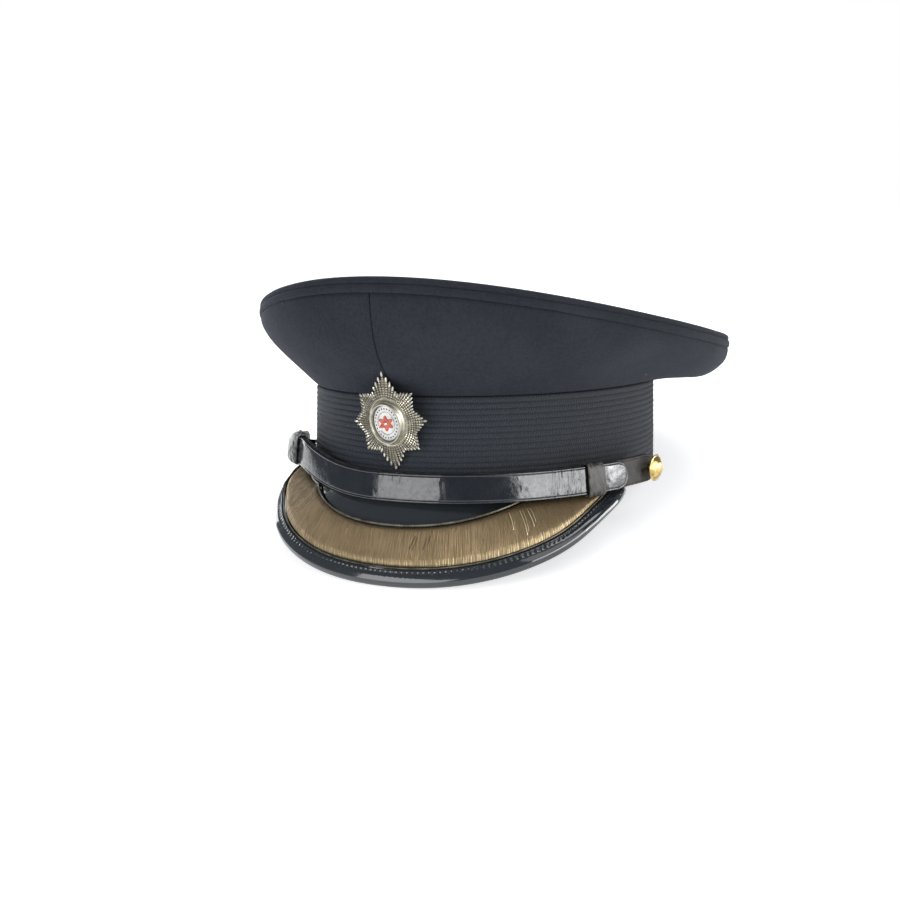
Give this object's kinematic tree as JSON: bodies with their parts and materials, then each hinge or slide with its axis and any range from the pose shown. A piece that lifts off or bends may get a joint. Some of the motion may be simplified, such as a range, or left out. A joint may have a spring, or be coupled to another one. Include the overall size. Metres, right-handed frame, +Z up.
{
  "type": "peaked forage cap",
  "caption": "Peaked forage cap: stiff cloth crown flaring over a ribbed band, steep patent leather peak with gold wire embroidery, chin strap, side buttons and star badge.",
  "frame": {"origin": "middle of the resting cap's outline, on the surface that it stands on", "axes": "+Z up as the cap rests on its peak and the back of its band, front (peak) towards -Y, wearer's left towards +X"},
  "size_m": [0.2392, 0.289, 0.1343],
  "materials": {
    "cloth": "felted wool",
    "braid": "ribbed mohair braid",
    "patent_leather": "high gloss",
    "gold_wire": "tarnished wire",
    "gilt": "polished",
    "silver": "worn plate",
    "enamel_white": "glossy",
    "enamel_red": "glossy"
  },
  "bodies": {
    "root": {"band": "braid", "crown_left": "cloth", "crown_right": "cloth", "crown_piping": "cloth", "crown_top": "cloth", "peak": "patent_leather", "peak_binding": "patent_leather", "gold_embroidery": "gold_wire", "cord_inner": "gold_wire", "cord_outer": "gold_wire", "strap_outer": "patent_leather", "strap_under": "patent_leather", "keeper_left": "patent_leather", "keeper_right": "patent_leather", "button_left": "gilt", "button_right": "gilt", "badge_star": "silver", "badge_enamel": "enamel_white", "badge_rosette": "enamel_red"}
  },
  "joints": []
}
